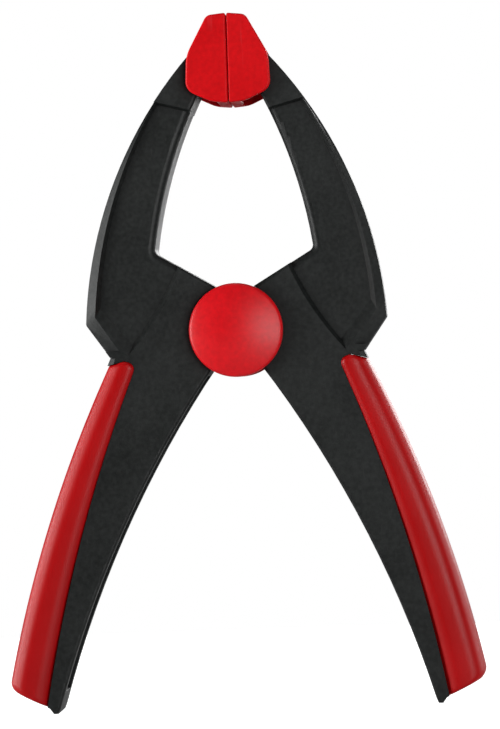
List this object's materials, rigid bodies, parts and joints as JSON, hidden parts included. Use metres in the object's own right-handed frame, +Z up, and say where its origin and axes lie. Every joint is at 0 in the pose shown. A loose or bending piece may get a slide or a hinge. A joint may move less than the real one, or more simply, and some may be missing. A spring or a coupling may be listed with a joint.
{
  "type": "spring clamp",
  "caption": "Hand spring clamp: two black levers on one sprung pivot, curved jaws with red swivel pads, red soft grips and round pivot caps.",
  "frame": {"origin": "under the pivot, level with the ends of the handles that the clamp stands on", "axes": "+X across the clamp towards the right lever as seen from the front, +Z up towards the pads, +Y along the pivot from the front cap to the rear cap"},
  "size_m": [0.1232, 0.0312, 0.179],
  "materials": {
    "lever_black": "fine-grained glass-filled moulding",
    "grip_red": "soft satin overmould",
    "pad_red": "smooth satin",
    "cap_red": "smooth satin gloss",
    "pin_steel": "ground, zinc plated",
    "washer_steel": "zinc plated",
    "spring_steel": "oiled spring wire",
    "bush_plastic": "natural acetal"
  },
  "bodies": {
    "left_half": {"left_lever": "lever_black", "left_grip": "grip_red", "left_pad_pin": "pin_steel", "pivot_pin": "pin_steel", "front_washer": "washer_steel", "rear_washer": "washer_steel", "front_retaining_ring": "spring_steel", "rear_retaining_ring": "spring_steel", "front_cap": "cap_red", "rear_cap": "cap_red", "torsion_spring": "spring_steel", "spring_bush": "bush_plastic"},
    "right_half": {"right_lever": "lever_black", "right_grip": "grip_red", "right_pad_pin": "pin_steel"},
    "left_pad": {"left_pad": "pad_red"},
    "right_pad": {"right_pad": "pad_red"}
  },
  "joints": [
    {"name": "jaw_hinge", "type": "hinge", "parent": "left_half", "child": "right_half", "pos_m": [0, 0, 0.0975], "axis": [0, 1, 0], "range_deg": [0, 50], "stiffness_Nm_per_rad": 2.3, "springref_deg": -51.57, "deforming": ["torsion_spring"]},
    {"name": "left_pad_swivel", "type": "hinge", "parent": "left_half", "child": "left_pad", "pos_m": [-0.0066, 0, 0.1663], "axis": [0, 1, 0], "range_deg": [0, 25]},
    {"name": "right_pad_swivel", "type": "hinge", "parent": "right_half", "child": "right_pad", "pos_m": [0.0066, 0, 0.1663], "axis": [0, 1, 0], "range_deg": [-25, 0]}
  ],
  "couplings": [
    {"joint": "left_pad_swivel", "follows": "jaw_hinge", "ratio": 0.5},
    {"joint": "right_pad_swivel", "follows": "jaw_hinge", "ratio": -0.5}
  ]
}
